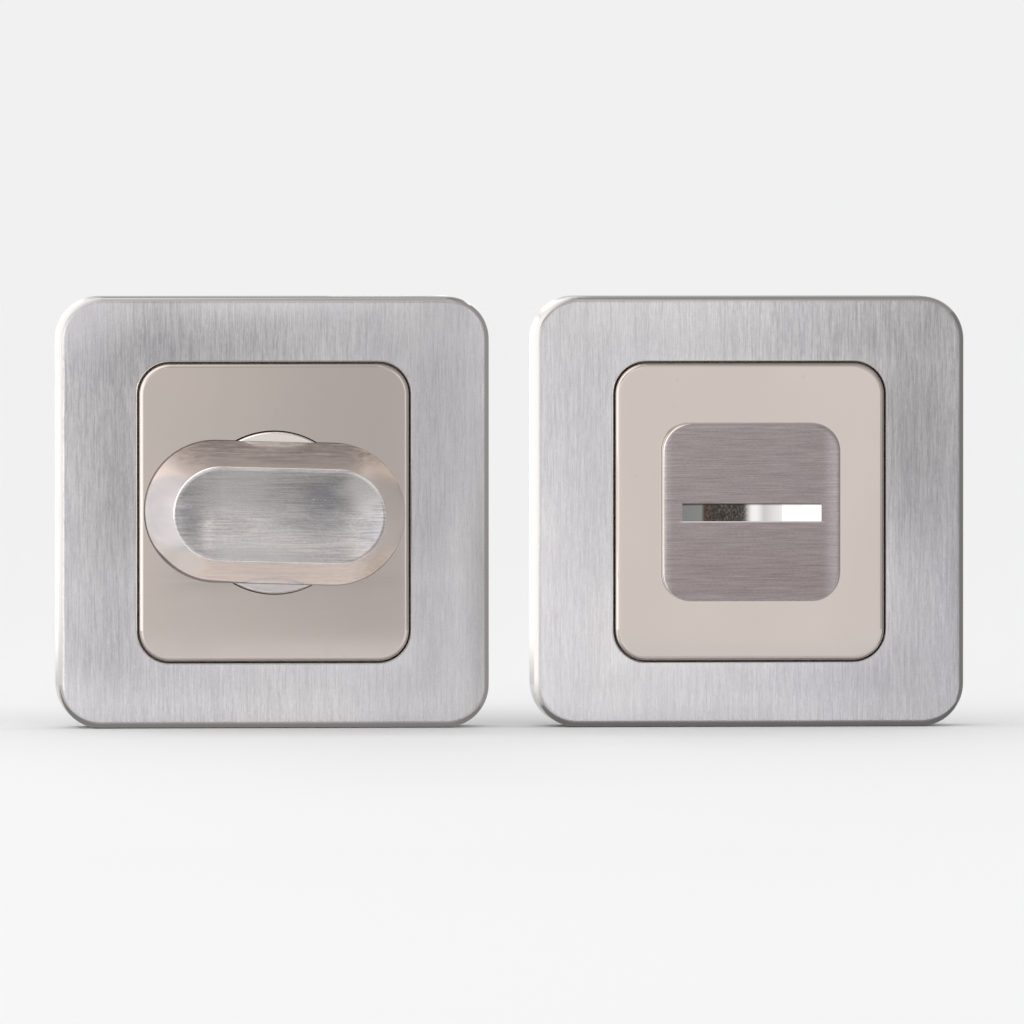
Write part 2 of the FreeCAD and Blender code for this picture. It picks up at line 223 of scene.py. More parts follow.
def makeCastGrain():
    # Die-cast skin: fine pimples and flow marks
    group, given, result = newGroup(
        "castGrain",
        [("Place", "NodeSocketVector", None), ("Grain Scale", "NodeSocketFloat", 2600.0),
         ("Flow Scale", "NodeSocketVector", (180, 180, 120))],
        ["Grain", "Flow", "Height"],
    )
    place = given.outputs["Place"]
    grain = addNode(group, "ShaderNodeTexNoise", Detail=3.0, Roughness=0.6)
    wire(group, place, grain.inputs["Vector"])
    wire(group, given.outputs["Grain Scale"], grain.inputs["Scale"])
    flow = scaledNoise(group, place, given.outputs["Flow Scale"], detail=4.0, roughness=0.6)
    wire(group, rangeNode(group, grain.outputs["Fac"], 0.35, 0.65), result.inputs["Grain"])
    wire(group, rangeNode(group, flow, 0.35, 0.65, smooth=True), result.inputs["Flow"])
    wire(group, mathNode(group, "ADD", grain.outputs["Fac"], times(group, flow, 0.5)), result.inputs["Height"])
    return group


brushLines = makeBrushLines()
handlingMarks = makeHandlingMarks()
castGrain = makeCastGrain()
print("shared effects:", [g.name for g in bpy.data.node_groups])


# Materials

def startMaterial(name, metallic=1.0, anisotropy=0.0, turn=0.0):
    material = bpy.data.materials.new(name)
    material.use_nodes = True
    tree = material.node_tree
    shader = tree.nodes["Principled BSDF"]
    shader.inputs["Metallic"].default_value = metallic
    if anisotropy:
        shader.inputs["Anisotropic"].default_value = anisotropy
        shader.inputs["Anisotropic Rotation"].default_value = turn
        tangent = addNode(tree, "ShaderNodeTangent", direction_type="RADIAL", axis="Z")
        wire(tree, tangent.outputs[0], shader.inputs["Tangent"])
    place = tree.nodes.new("ShaderNodeTexCoord").outputs["Object"]
    return material, tree, shader, place


def placeParts(tree, place):
    split = tree.nodes.new("ShaderNodeSeparateXYZ")
    wire(tree, place, split.inputs[0])
    return split.outputs


def frontFacing(tree, low, high):
    # 1 where a surface looks at the hand, 0 where it looks sideways
    normal = placeParts(tree, tree.nodes.new("ShaderNodeNewGeometry").outputs["Normal"])
    return rangeNode(tree, normal[1], low, high, smooth=True)


def insideSpan(tree, value, middle, half, soft=0.05 * mm):
    away = mathNode(tree, "ABSOLUTE", mathNode(tree, "SUBTRACT", value, middle))
    return rangeNode(tree, away, half + soft, half - soft)


def distanceFrom(tree, parts, x, z, stretchX=1.0, stretchZ=1.0):
    awayX = times(tree, mathNode(tree, "SUBTRACT", parts[0], x), stretchX)
    awayZ = times(tree, mathNode(tree, "SUBTRACT", parts[2], z), stretchZ)
    return mathNode(tree, "SQRT", mathNode(tree, "ADD", times(tree, awayX, awayX), times(tree, awayZ, awayZ)))


def outsideWindow(tree, parts, middle):
    # how far a point of a cover lies outside its window
    away = []
    for axis in (0, 2):
        offset = mathNode(tree, "ABSOLUTE", mathNode(tree, "SUBTRACT", parts[axis], middle[axis]))
        away.append(mathNode(tree, "SUBTRACT", offset, windowHalf[axis]))
    return mathNode(tree, "MAXIMUM", *away)


def addBump(tree, shader, height, strength, distance):
    bump = addNode(tree, "ShaderNodeBump", Strength=strength, Distance=distance)
    wire(tree, height, bump.inputs["Height"])
    wire(tree, bump.outputs[0], shader.inputs["Normal"])


# painted shade: darker metal down in the windows' joints, and darker still round the necks
gapShade = dict(colour=(0.46, 0.43, 0.415), neckColour=(0.09, 0.082, 0.08), roughness=0.50)

satinCover = dict(
    light=(0.83, 0.815, 0.83), dark=(0.57, 0.56, 0.58), patch=(0.86, 0.865, 0.90), patchAmount=0.55,
    roughness=0.23, streakRoughness=0.08, cut=(0.86, 0.85, 0.84), cutRoughness=0.10,
    side=(0.52, 0.505, 0.49), sideRoughness=0.16, bump=0.10, bumpDepth=0.008 * mm, anisotropy=0.35,
    cutReach=0.45 * mm, cutSoft=0.05 * mm, gapStart=0.30 * mm, gapEnd=0.60 * mm,
    sideFacing=(-0.90, -0.985), cutFacing=(-0.90, -0.97), spotCore=0.1,
    tone=((-26, 0.71), (-20, 0.735), (-8, 0.87), (8, 0.885), (20, 0.78), (26, 0.74), (31, 0.79), (37, 0.83),
          (50, 0.92), (64, 0.90), (77, 0.72), (84, 0.68)),        # painted light and shade: how bright each cover is, by x in mm
    lift=(1.0, 1.23),                                             # and from its top to its bottom, also painted light and shade
    # how strong its strokes are, by x in mm, and from top to bottom
    bite=((-26, 1.45), (0, 1.25), (26, 0.68), (31, 0.50), (57, 0.95), (84, 1.25)), biteDown=(1.15, 0.6),
    span=(-30, 90),                                               # the x that these curves reach over, in mm
    inward=((0, 1.00), (1.2, 0.94), (3.2, 0.93), (6.0, 1.0), (9.5, 1.12)),   # how bright, by mm from the window
    spots=(          # partly painted light and shade, partly where the belt pressed more or less, in mm: x, z, reach along, reach up, brightness, strokes
        (-9, 18.5, 16, 6.5, 0.82, 1.1), (-23, 25, 9, 9, 1.34, 0.30), (2, 26, 24, 3.5, 1.16, 0.5),
        (26, -12, 4.4, 32, 0.66, 0.8), (-20, -23, 13, 6, 1.14, 0.8), (79, 8, 9, 13, 0.86, 1.0),
        (76, -10, 9, 12, 1.14, 1.0), (84, -10, 3.4, 24, 0.80, 0.8), (28, 24, 6, 6, 1.14, 0.5),
        (-18.6, 4, 4.0, 15, 0.86, 1.0), (19, 22, 11, 6, 1.09, 0.9), (50, 22, 16, 7, 1.08, 0.8),
        (53, -26, 18, 4, 0.90, 0.7),
    ),
)


def downCover(tree, parts, ends):
    # from a cover's top to its bottom, doubled against the halved ramp that it goes with
    return rangeNode(tree, parts[2], coverTop, floorLevel, *[2 * end for end in ends])


def makeSatinCover():
    look = satinCover
    material, tree, shader, place = startMaterial("satinCover", anisotropy=look["anisotropy"])
    parts = placeParts(tree, place)
    lines = placeGroup(tree, brushLines, place, Fine_Scale=(7400, 7400, 300), Grit_Scale=(6400, 6400, 1500),
                       Band_Scale=(2300, 2300, 80), Patch_Scale=(70, 70, 42))
    across = times(tree, parts[0], 1 / mm)
    bite = times(tree, rampFrom(tree, across, look["bite"], *look["span"]), downCover(tree, parts, look["biteDown"]))
    # the covers' tone is partly painted light and shade, partly uneven brushing: in patches, by x, from the window
    # and from top to bottom
    tone = 1.0
    for x, z, along, up, bright, strokes in look["spots"]:
        away = distanceFrom(tree, parts, x * mm, z * mm, 1 / (along * mm), 1 / (up * mm))
        spot = rangeNode(tree, away, 1.0, look["spotCore"], smooth=True)
        tone = times(tree, mixValue(tree, spot, 1.0, bright), tone)
        bite = times(tree, mixValue(tree, spot, 1.0, strokes), bite)
    stroke = times(tree, mathNode(tree, "SUBTRACT", lines["Streak"], 0.5), bite)
    colour = mixColour(tree, mathNode(tree, "ADD", stroke, 0.5), look["dark"], look["light"])
    colour = mixColour(tree, times(tree, lines["Patch"], look["patchAmount"]), colour, look["patch"], "MULTIPLY")
    fromWindow = mathNode(tree, "MINIMUM", *[outsideWindow(tree, parts, middle) for middle in halves])
    tone = times(tree, tone, rampFrom(tree, across, look["tone"], *look["span"]),
                 rampFrom(tree, times(tree, fromWindow, 1 / mm), look["inward"], 0, 10), 2.0)
    tone = times(tree, tone, downCover(tree, parts, look["lift"]))
    colour = mixColour(tree, 1.0, colour, tone, "MULTIPLY")
    rough = rangeNode(tree, lines["Streak"], 0, 1, look["roughness"] + look["streakRoughness"], look["roughness"])
    # the rounded outer edges are plain, the cut edge round each window is bright, and its wall further in gets
    # painted shade
    side = inverse(tree, frontFacing(tree, *look["sideFacing"]))
    colour = mixColour(tree, side, colour, look["side"])
    rough = mixValue(tree, side, rough, look["sideRoughness"])
    ring = rangeNode(tree, fromWindow, look["cutReach"] + look["cutSoft"], look["cutReach"] - look["cutSoft"])
    cutEdge = times(tree, ring, inverse(tree, frontFacing(tree, *look["cutFacing"])))
    deep = times(tree, ring, rangeNode(tree, parts[1], frameFace + look["gapStart"], frameFace + look["gapEnd"]))
    colour = mixColour(tree, cutEdge, colour, look["cut"])
    rough = mixValue(tree, cutEdge, rough, look["cutRoughness"])
    wire(tree, mixColour(tree, deep, colour, gapShade["colour"]), shader.inputs["Base Color"])
    wire(tree, mixValue(tree, deep, rough, gapShade["roughness"]), shader.inputs["Roughness"])
    addBump(tree, shader, lines["Height"], look["bump"], look["bumpDepth"])
    return material


polishedPlate = dict(
    colour=(0.640, 0.572, 0.535), smudge=(0.612, 0.550, 0.520), speck=(0.30, 0.25, 0.22),
    roughness=0.05, smudgeRoughness=0.03, hairlineRoughness=0.015, bump=0.05, bumpDepth=0.004 * mm,
    gapStart=0.70 * mm, gapEnd=1.20 * mm, holeReach=12.0 * mm, holeSoft=0.1 * mm, holeFacing=(-0.3, -0.7),
    speckAmount=0.08, waveScale=(160, 160, 110),
)


def makePolishedPlate():
    look = polishedPlate
    material, tree, shader, place = startMaterial("polishedPlate")
    parts = placeParts(tree, place)
    marks = placeGroup(tree, handlingMarks, place, Hairline_Scale=(140, 140, 2600), Smudge_Scale=(55, 55, 40),
                       Speck_Scale=420.0)
    colour = mixColour(tree, marks["Smudge"], look["colour"], look["smudge"])
    colour = mixColour(tree, times(tree, marks["Speck"], look["speckAmount"]), colour, look["speck"])
    rough = mathNode(tree, "ADD", times(tree, marks["Smudge"], look["smudgeRoughness"]), look["roughness"])
    rough = mathNode(tree, "ADD", rough, times(tree, marks["Hairline"], look["hairlineRoughness"]))
    # painted shade down in the window's joint, and darker painted shade in the hole round the neck
    deep = rangeNode(tree, parts[1], plateFace + look["gapStart"], plateFace + look["gapEnd"])
    near = mathNode(tree, "MINIMUM", *[distanceFrom(tree, parts, middle.x, middle.z) for middle in halves])
    hole = times(tree, rangeNode(tree, near, look["holeReach"] + look["holeSoft"], look["holeReach"]),
                 inverse(tree, frontFacing(tree, *look["holeFacing"])))
    colour = mixColour(tree, deep, colour, gapShade["colour"])
    wire(tree, mixColour(tree, hole, colour, gapShade["neckColour"]), shader.inputs["Base Color"])
    deep = mathNode(tree, "MAXIMUM", deep, hole)
    wire(tree, mixValue(tree, deep, rough, gapShade["roughness"]), shader.inputs["Roughness"])
    wave = scaledNoise(tree, place, look["waveScale"], detail=1.0)
    addBump(tree, shader, wave, look["bump"], look["bumpDepth"])
    return material


turnMetal = dict(
    flank=(0.93, 0.87, 0.84), flankDull=(0.36, 0.315, 0.295), flankRoughness=0.20, scuffRoughness=0.08,
    dishLight=(0.79, 0.748, 0.740), dishDark=(0.445, 0.422, 0.424), dishRoughness=0.24, dishBand=0.08,
    dishDepth=1.5 * mm, dishFacing=(-0.72, -0.86), speck=(0.92, 0.92, 0.92), speckAmount=0.6,
    bump=0.12, bumpDepth=0.01 * mm, flankBump=0.5, edgeSoft=0.1 * mm,
    shade=(0.62, 0.65, 0.69),            # painted shade in the dish, standing in for its dark reflections, in mm: x, z, reach along, reach across, amount
    shaded=((5.6, 2.6, 6.6, 3.8, 0.88), (-11.0, 0.2, 3.0, 5.2, 0.75), (5.2, -0.9, 6.2, 3.2, 0.70),
            (11.8, -1.4, 4.2, 4.2, 0.75)),
    pale=(0.80, 0.785, 0.78),            # and painted highlights, standing in for its bright reflections
    paled=((9.9, 3.3, 3.3, 3.9, 0.95), (-2.5, -4.6, 10.0, 3.2, 0.42), (-5.0, 3.2, 7.0, 3.6, 0.50)),
    patchUneven=(0.70, 1.20), patchCore=0.15,
    scuffUp=(5.0 * mm, 7.2 * mm), scuffLeft=(-14.0 * mm, -9.5 * mm), hairlineAmount=0.9,
    worn=(0.86, 1.12), wornDown=(-3.5 * mm, -5.5 * mm),
    leftEnd=(0.94, 0.95, 0.97), leftSpan=(-10.0 * mm, -13.0 * mm),
    leftLow=(1.26, 1.25, 1.24), leftLowPlace=(-12.0 * mm, -5.5 * mm), leftLowReach=(5.0 * mm, 1.0 * mm),
    rightEnd=(0.90, 0.85, 0.785), rightSpan=(8.5 * mm, 12.5 * mm), rightRoughness=0.16,
    neckTop=-11.5 * mm, gripEdge=(0.15 * mm, 0.12 * mm), neckLow=(0.72, 0.72, 0.73), neckFade=1.0 * mm,
    sunkDepth=2.0 * mm,
    foot=(0.045, 0.040, 0.038), footAmount=0.92,          # the painted shadow line along the grip's foot
    footTop=-11.75 * mm, footSoft=0.14 * mm, footLow=0.35 * mm, footMore=0.85 * mm,
    footWideX=(-2.0 * mm, -8.0 * mm), footWideZ=(-2.5 * mm, -6.5 * mm),
)


def makeTurnMetal():
    look = turnMetal
    material, tree, shader, place = startMaterial("turnMetal", anisotropy=0.4, turn=0.25)
    parts = placeParts(tree, place)
    soft = look["edgeSoft"]
    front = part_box("thumb_turn")[0].y
    # the dish looks at the hand and lies near the front; the neck's ring looks at it too, further back
    nearFront = rangeNode(tree, parts[1], front + look["dishDepth"] + soft, front + look["dishDepth"])
    dish = times(tree, frontFacing(tree, *look["dishFacing"]), nearFront)
    lines = placeGroup(tree, brushLines, place, Fine_Scale=(260, 500, 5600), Grit_Scale=(2200, 800, 5200),
                       Band_Scale=(90, 200, 1700), Patch_Scale=(170, 100, 420))
    marks = placeGroup(tree, handlingMarks, place, Hairline_Scale=(110, 900, 2300), Speck_Scale=1300.0)
    flankLines = placeGroup(tree, brushLines, place, Fine_Scale=(200, 560, 3200), Grit_Scale=(1100, 700, 3200),
                            Band_Scale=(80, 300, 1200), Patch_Scale=(120, 260, 120))
    dishColour = mixColour(tree, lines["Streak"], look["dishDark"], look["dishLight"])
    uneven = rangeNode(tree, lines["Patch"], 0, 1, *look["patchUneven"])
    # painted shade and painted highlights in the dish, in soft uneven patches
    for patches, tint, blend in ((look["shaded"], look["shade"], "MULTIPLY"), (look["paled"], look["pale"], "MIX")):
        for x, z, along, across, amount in patches:
            away = distanceFrom(tree, parts, x * mm, z * mm, 1 / (along * mm), 1 / (across * mm))
            patch = rangeNode(tree, times(tree, away, uneven), 1.0, look["patchCore"], smooth=True)
            dishColour = mixColour(tree, times(tree, patch, amount), dishColour, tint, blend)
    dishColour = mixColour(tree, times(tree, marks["Speck"], look["speckAmount"]), dishColour, look["speck"])
    # the upper flank is scuffed along its length
    upper = times(tree, rangeNode(tree, parts[2], *look["scuffUp"], smooth=True),
                  rangeNode(tree, parts[1], look["neckTop"] + soft, look["neckTop"] - soft),
                  rangeNode(tree, parts[0], *look["scuffLeft"], smooth=True))
    scuff = times(tree, upper, inverse(tree, flankLines["Streak"]))
    flankColour = mixColour(tree, scuff, look["flank"], look["flankDull"])
    hairlines = times(tree, upper, marks["Hairline"], look["hairlineAmount"])
    flankColour = mixColour(tree, hairlines, flankColour, look["speck"])
    # the lower flank is worn in faint streaks
    lower = rangeNode(tree, parts[2], *look["wornDown"], smooth=True)
    streaks = rangeNode(tree, flankLines["Streak"], 0, 1, *look["worn"])
    flankColour = mixColour(tree, lower, flankColour, streaks, "MULTIPLY")
    # painted shade on the grip's ends, a painted highlight at its lower left, and painted shade on the neck's lower
    # side
    left = times(tree, rangeNode(tree, parts[0], *look["leftSpan"], smooth=True), inverse(tree, upper))
    right = rangeNode(tree, parts[0], *look["rightSpan"], smooth=True)
    lowLeft = rangeNode(tree, distanceFrom(tree, parts, *look["leftLowPlace"]), *look["leftLowReach"], smooth=True)
    grip = rangeNode(tree, parts[1], *[look["neckTop"] + edge for edge in look["gripEdge"]])
    lowNeck = times(tree, inverse(tree, grip), rangeNode(tree, parts[2], look["neckFade"], -look["neckFade"]))
    for mask, key in ((left, "leftEnd"), (lowLeft, "leftLow"), (right, "rightEnd"), (lowNeck, "neckLow")):
        flankColour = mixColour(tree, mask, flankColour, look[key], "MULTIPLY")
    # a painted shadow line along the grip's foot, widest at its lower left
    wide = times(tree, rangeNode(tree, parts[0], *look["footWideX"], smooth=True),
                 rangeNode(tree, parts[2], *look["footWideZ"], smooth=True))
    footEdge = mathNode(tree, "ADD", parts[1], times(tree, wide, look["footMore"]))
    footEdge = mathNode(tree, "ADD", footEdge, times(tree, lower, look["footLow"]))
    foot = times(tree, grip, rangeNode(tree, footEdge, look["footTop"] - look["footSoft"],
                                       look["footTop"] + look["footSoft"]))
    flankColour = mixColour(tree, times(tree, foot, look["footAmount"]), flankColour, look["foot"])
    colour = mixColour(tree, dish, flankColour, dishColour)
    flankRough = mathNode(tree, "ADD", times(tree, scuff, look["scuffRoughness"]), look["flankRoughness"])
    flankRough = mathNode(tree, "ADD", flankRough, times(tree, right, look["rightRoughness"]))
    dishRough = rangeNode(tree, lines["Streak"], 0, 1, look["dishRoughness"] + look["dishBand"],
                          look["dishRoughness"])
    rough = mixValue(tree, dish, flankRough, dishRough)
    # painted shade on the neck where it goes down into the plate
    sunk = insideSpan(tree, parts[1], plateFace + look["sunkDepth"], look["sunkDepth"], soft)
    wire(tree, mixColour(tree, sunk, colour, gapShade["neckColour"]), shader.inputs["Base Color"])
    wire(tree, mixValue(tree, sunk, rough, gapShade["roughness"]), shader.inputs["Roughness"])
    height = mixValue(tree, dish, times(tree, flankLines["Height"], upper, look["flankBump"]), lines["Height"])
    addBump(tree, shader, height, look["bump"], look["bumpDepth"])
    return material


buttonMetal = dict(
    light=(0.435, 0.375, 0.376), dark=(0.275, 0.235, 0.238), roughness=0.28, streakRoughness=0.07,
    bump=0.10, bumpDepth=0.008 * mm, faceFacing=(-0.55, -0.85), faceDepth=(0.30 * mm, 0.06 * mm),
    border=(1.42, 1.50, 1.52),           # paler wear: from where, to where, from none to how much
    wearRight=(8.3 * mm, 10.3 * mm, 0, 0.9), wearLeft=(-9.4 * mm, -10.5 * mm, 0, 0.5),
    wearEnds=(9.9 * mm, 10.5 * mm, 0, 0.5),
    lower=(0.94, 0.92, 0.92), lowerSpan=(2.0 * mm, -9.0 * mm),
    glintMiddle=-1.15 * mm, glintHalf=0.06 * mm, glintSoft=0.04 * mm, glintEnd=0.4 * mm, glintAmount=0.7,
    side=(0.80, 0.765, 0.74), sideRoughness=0.12,
    slot=(0.92, 0.91, 0.905), slotRoughness=0.05, slotHalf=(8.6 * mm, 1.10 * mm), slotSoft=0.01 * mm,
    slotDepth=(0.01 * mm, 0.03 * mm), slotDark=(0.075, 0.062, 0.056), slotFleck=(0.24, 0.225, 0.21),
    fleckRange=(0.46, 0.66), slotEnd=(0.38, 0.395, 0.38), slotBrown=(0.16, 0.085, 0.055),
    brownReach=1.3 * mm, brownAmount=0.7, darkStart=-5.95 * mm, startSoft=(-0.15 * mm, 0.35 * mm),
    darkEnd=-0.2 * mm, endSoft=(-0.7 * mm, 0.5 * mm), upperEdge=(0.74 * mm, 0.98 * mm, 0, 0.95),
)


def makeButtonMetal():
    look = buttonMetal
    material, tree, shader, place = startMaterial("buttonMetal", anisotropy=0.4, turn=0.25)
    parts = placeParts(tree, place)
    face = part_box("release_button")[0].y
    lines = placeGroup(tree, brushLines, place, Fine_Scale=(240, 500, 8600), Grit_Scale=(2600, 800, 8600),
                       Band_Scale=(110, 200, 4600), Patch_Scale=(70, 100, 120))
    colour = mixColour(tree, lines["Streak"], look["dark"], look["light"])
    # the face is worn paler towards its edges, most of all on the right
    across = mathNode(tree, "SUBTRACT", parts[0], releaseMiddle.x)
    up = mathNode(tree, "SUBTRACT", parts[2], releaseMiddle.z)
    worn = mathNode(tree, "MAXIMUM", rangeNode(tree, across, *look["wearRight"], smooth=True),
                    rangeNode(tree, across, *look["wearLeft"], smooth=True))
    wornEnds = rangeNode(tree, mathNode(tree, "ABSOLUTE", up), *look["wearEnds"], smooth=True)
    worn = mathNode(tree, "MAXIMUM", worn, wornEnds)
    colour = mixColour(tree, worn, colour, look["border"], "MULTIPLY")
    # it is darker towards its bottom, and a painted highlight runs along the slot's lower edge
    lower = rangeNode(tree, up, *look["lowerSpan"], smooth=True)
    colour = mixColour(tree, lower, colour, look["lower"], "MULTIPLY")
    halfX, halfZ = look["slotHalf"]
    slotGlint = times(tree, insideSpan(tree, up, look["glintMiddle"], look["glintHalf"], look["glintSoft"]),
                 insideSpan(tree, across, 0.0, halfX, look["glintEnd"]))
    colour = mixColour(tree, times(tree, slotGlint, look["glintAmount"]), colour, look["slot"])
    onFace = rangeNode(tree, parts[1], *[face + depth for depth in look["faceDepth"]])
    brushed = times(tree, frontFacing(tree, *look["faceFacing"]), onFace)
    inSlot = times(tree, insideSpan(tree, parts[2], releaseMiddle.z, halfZ, look["slotSoft"]),
                   insideSpan(tree, parts[0], releaseMiddle.x, halfX),
                   rangeNode(tree, parts[1], *[face + depth for depth in look["slotDepth"]]))
    brushed = times(tree, brushed, inverse(tree, inSlot))
    # painted reflection on the slot's floor: dark and flecked on its left, browner towards its grey left end
    fleckNoise = scaledNoise(tree, place, (3900, 2600, 2700), detail=3.0, roughness=0.75)
    slotDarkColour = mixColour(tree, rangeNode(tree, fleckNoise, *look["fleckRange"]), look["slotDark"], look["slotFleck"])
    start, end = look["darkStart"], look["darkEnd"]
    brown = rangeNode(tree, across, start + look["brownReach"], start, 0, look["brownAmount"])
    slotDarkColour = mixColour(tree, brown, slotDarkColour, look["slotBrown"])
    pastStart = rangeNode(tree, across, *[start + edge for edge in look["startSoft"]], smooth=True)
    pastEnd = rangeNode(tree, across, *[end + edge for edge in look["endSoft"]], smooth=True)
    slotColour = mixColour(tree, pastStart, look["slotEnd"], slotDarkColour)
    slotColour = mixColour(tree, pastEnd, slotColour, look["slot"])
    # and a painted shadow along its upper edge
    slotColour = mixColour(tree, rangeNode(tree, up, *look["upperEdge"]), slotColour, look["slotDark"])
    polished = mixColour(tree, inSlot, look["side"], slotColour)
    wire(tree, mixColour(tree, brushed, polished, colour), shader.inputs["Base Color"])
    rough = rangeNode(tree, lines["Streak"], 0, 1, look["roughness"] + look["streakRoughness"], look["roughness"])
    plain = mixValue(tree, inSlot, look["sideRoughness"], look["slotRoughness"])
    wire(tree, mixValue(tree, brushed, plain, rough), shader.inputs["Roughness"])
    addBump(tree, shader, times(tree, lines["Height"], brushed), look["bump"], look["bumpDepth"])
    return material


casting = dict(
    light=(0.50, 0.50, 0.51), dark=(0.33, 0.33, 0.345), pore=(0.18, 0.18, 0.19), roughness=0.42,
    grainRoughness=(0.12, -0.06), poreAmount=0.5, bump=0.35, bumpDepth=0.02 * mm,
)


def makeCasting():
    look = casting
    material, tree, shader, place = startMaterial("casting")
    grain = placeGroup(tree, castGrain, place, Grain_Scale=2400.0)
    colour = mixColour(tree, grain["Flow"], look["dark"], look["light"])
    pores = rangeNode(tree, grain["Grain"], 0.25, 0.0)
    colour = mixColour(tree, times(tree, pores, look["poreAmount"]), colour, look["pore"])
    wire(tree, colour, shader.inputs["Base Color"])
    rough = [look["roughness"] + more for more in look["grainRoughness"]]
    wire(tree, rangeNode(tree, grain["Grain"], 0, 1, *rough), shader.inputs["Roughness"])
    addBump(tree, shader, grain["Height"], look["bump"], look["bumpDepth"])
    return material


platedSteel = dict(
    colour=(0.66, 0.67, 0.69), yellow=(0.70, 0.66, 0.55), blue=(0.55, 0.60, 0.68), roughness=0.22,
    smudgeRoughness=0.12, bump=0.08, bumpDepth=0.006 * mm,
)


def makePlatedSteel():
    look = platedSteel
    material, tree, shader, place = startMaterial("platedSteel")
    marks = placeGroup(tree, handlingMarks, place, Hairline_Scale=(1800, 120, 1800), Smudge_Scale=(260, 120, 260))
    tint = scaledNoise(tree, place, (210, 140, 210), detail=2.0)
    colour = mixColour(tree, rangeNode(tree, tint, 0.5, 0.68, smooth=True), look["colour"], look["yellow"])
    colour = mixColour(tree, rangeNode(tree, tint, 0.46, 0.32, smooth=True), colour, look["blue"])
    wire(tree, colour, shader.inputs["Base Color"])
    rough = mathNode(tree, "ADD", times(tree, marks["Smudge"], look["smudgeRoughness"]), look["roughness"])
    wire(tree, rough, shader.inputs["Roughness"])
    grain = placeGroup(tree, castGrain, place, Grain_Scale=3800.0)
    addBump(tree, shader, grain["Height"], look["bump"], look["bumpDepth"])
    return material


springSteel = dict(
    light=(0.20, 0.20, 0.215), dark=(0.115, 0.112, 0.118), roughness=0.30, streakRoughness=0.12,
    bump=0.10, bumpDepth=0.006 * mm,
)


def makeSpringSteel():
    look = springSteel
    material, tree, shader, place = startMaterial("springSteel")
    lines = placeGroup(tree, brushLines, place, Fine_Scale=(900, 4200, 900), Band_Scale=(300, 1200, 300),
                       Patch_Scale=(300, 300, 300))
    wire(tree, mixColour(tree, lines["Patch"], look["dark"], look["light"]), shader.inputs["Base Color"])
    wire(tree, rangeNode(tree, lines["Streak"], 0, 1, look["roughness"] + look["streakRoughness"], look["roughness"]),
         shader.inputs["Roughness"])
    addBump(tree, shader, lines["Height"], look["bump"], look["bumpDepth"])
    return material


nylon = dict(
    light=(0.80, 0.785, 0.73), dark=(0.71, 0.69, 0.62), roughness=0.40, grainRoughness=0.1,
    bump=0.10, bumpDepth=0.01 * mm,
)


def makeNylon():
    look = nylon
    material, tree, shader, place = startMaterial("nylon", metallic=0.0)
    grain = placeGroup(tree, castGrain, place, Grain_Scale=3000.0, Flow_Scale=(320, 320, 320))
    wire(tree, mixColour(tree, grain["Flow"], look["dark"], look["light"]), shader.inputs["Base Color"])
    wire(tree, rangeNode(tree, grain["Grain"], 0, 1, look["roughness"] + look["grainRoughness"], look["roughness"]),
         shader.inputs["Roughness"])
    addBump(tree, shader, grain["Height"], look["bump"], look["bumpDepth"])
    return material


finishes = {
    "satinCover": makeSatinCover(),
    "polishedPlate": makePolishedPlate(),
    "turnMetal": makeTurnMetal(),
    "buttonMetal": makeButtonMetal(),
    "casting": makeCasting(),
    "platedSteel": makePlatedSteel(),
    "springSteel": makeSpringSteel(),
    "nylon": makeNylon(),
}
nodeFinish = {
    "turn_frame": "satinCover", "release_frame": "satinCover",
    "turn_insert": "polishedPlate", "release_insert": "polishedPlate",
    "thumb_turn": "turnMetal", "release_button": "buttonMetal",
    "turn_base": "casting", "release_base": "casting",
    "turn_bush": "nylon", "release_bush": "nylon",
    "turn_washer": "platedSteel", "release_washer": "platedSteel", "spindle": "platedSteel",
    "turn_circlip": "springSteel", "release_circlip": "springSteel",
    "turn_cover_clips": "springSteel", "release_cover_clips": "springSteel",
    "through_bolts": "platedSteel", "turn_wood_screws": "platedSteel", "release_wood_screws": "platedSteel",
}
for name, finish in nodeFinish.items():
    nodes[name].data.materials.clear()
    nodes[name].data.materials.append(finishes[finish])
print("finishes:", sorted(finishes))


# Screws with real threads and cross recesses, in place of the plain CAD ones

tipShare = 0.04                  # how thick a screw's very tip is, of its root
sharpAngle = 35                  # edges above this many degrees stay sharp
crossRecess = dict(halfLength=1.8, halfWidth=0.45, depth=1.4, floorShare=0.45)
boltLook = dict(
    node="through_bolts", name="threaded_bolts", headRadius=3.5, headHeight=2.6, headRound=0.5, shoulderRadius=2.0,
    shoulderLength=2.2, crest=1.95, root=1.55, pitch=0.7, crestShare=0.22, flankShare=0.28, tip=0.6, rowsPerTurn=8,
    threadGap=0.02,
)
woodScrewLook = dict(
    nodes=("turn_wood_screws", "release_wood_screws"), names=("turn_threaded_screws", "release_threaded_screws"),
    headRadius=3.5, headEdge=0.15, shankRadius=1.45, shankLength=2.6, crest=1.75, root=1.15, pitch=1.5,
    crestShare=0.10, flankShare=0.22, tip=4.5, rowsPerTurn=14, threadGap=0.3,
)


def screwAngles():
    # columns round a screw, so that the corners of its cross recess fall on columns
    corner = math.atan2(crossRecess["halfWidth"], crossRecess["halfLength"])
    half = math.pi / 4
    eighth = [corner * i / 2 for i in range(2)] + [corner + (half - corner) * i / 4 for i in range(4)]
    quarter = eighth + [2 * half - a for a in [half] + eighth[:0:-1]]
    return [a + quarterTurn * math.pi / 2 for quarterTurn in range(4) for a in quarter]


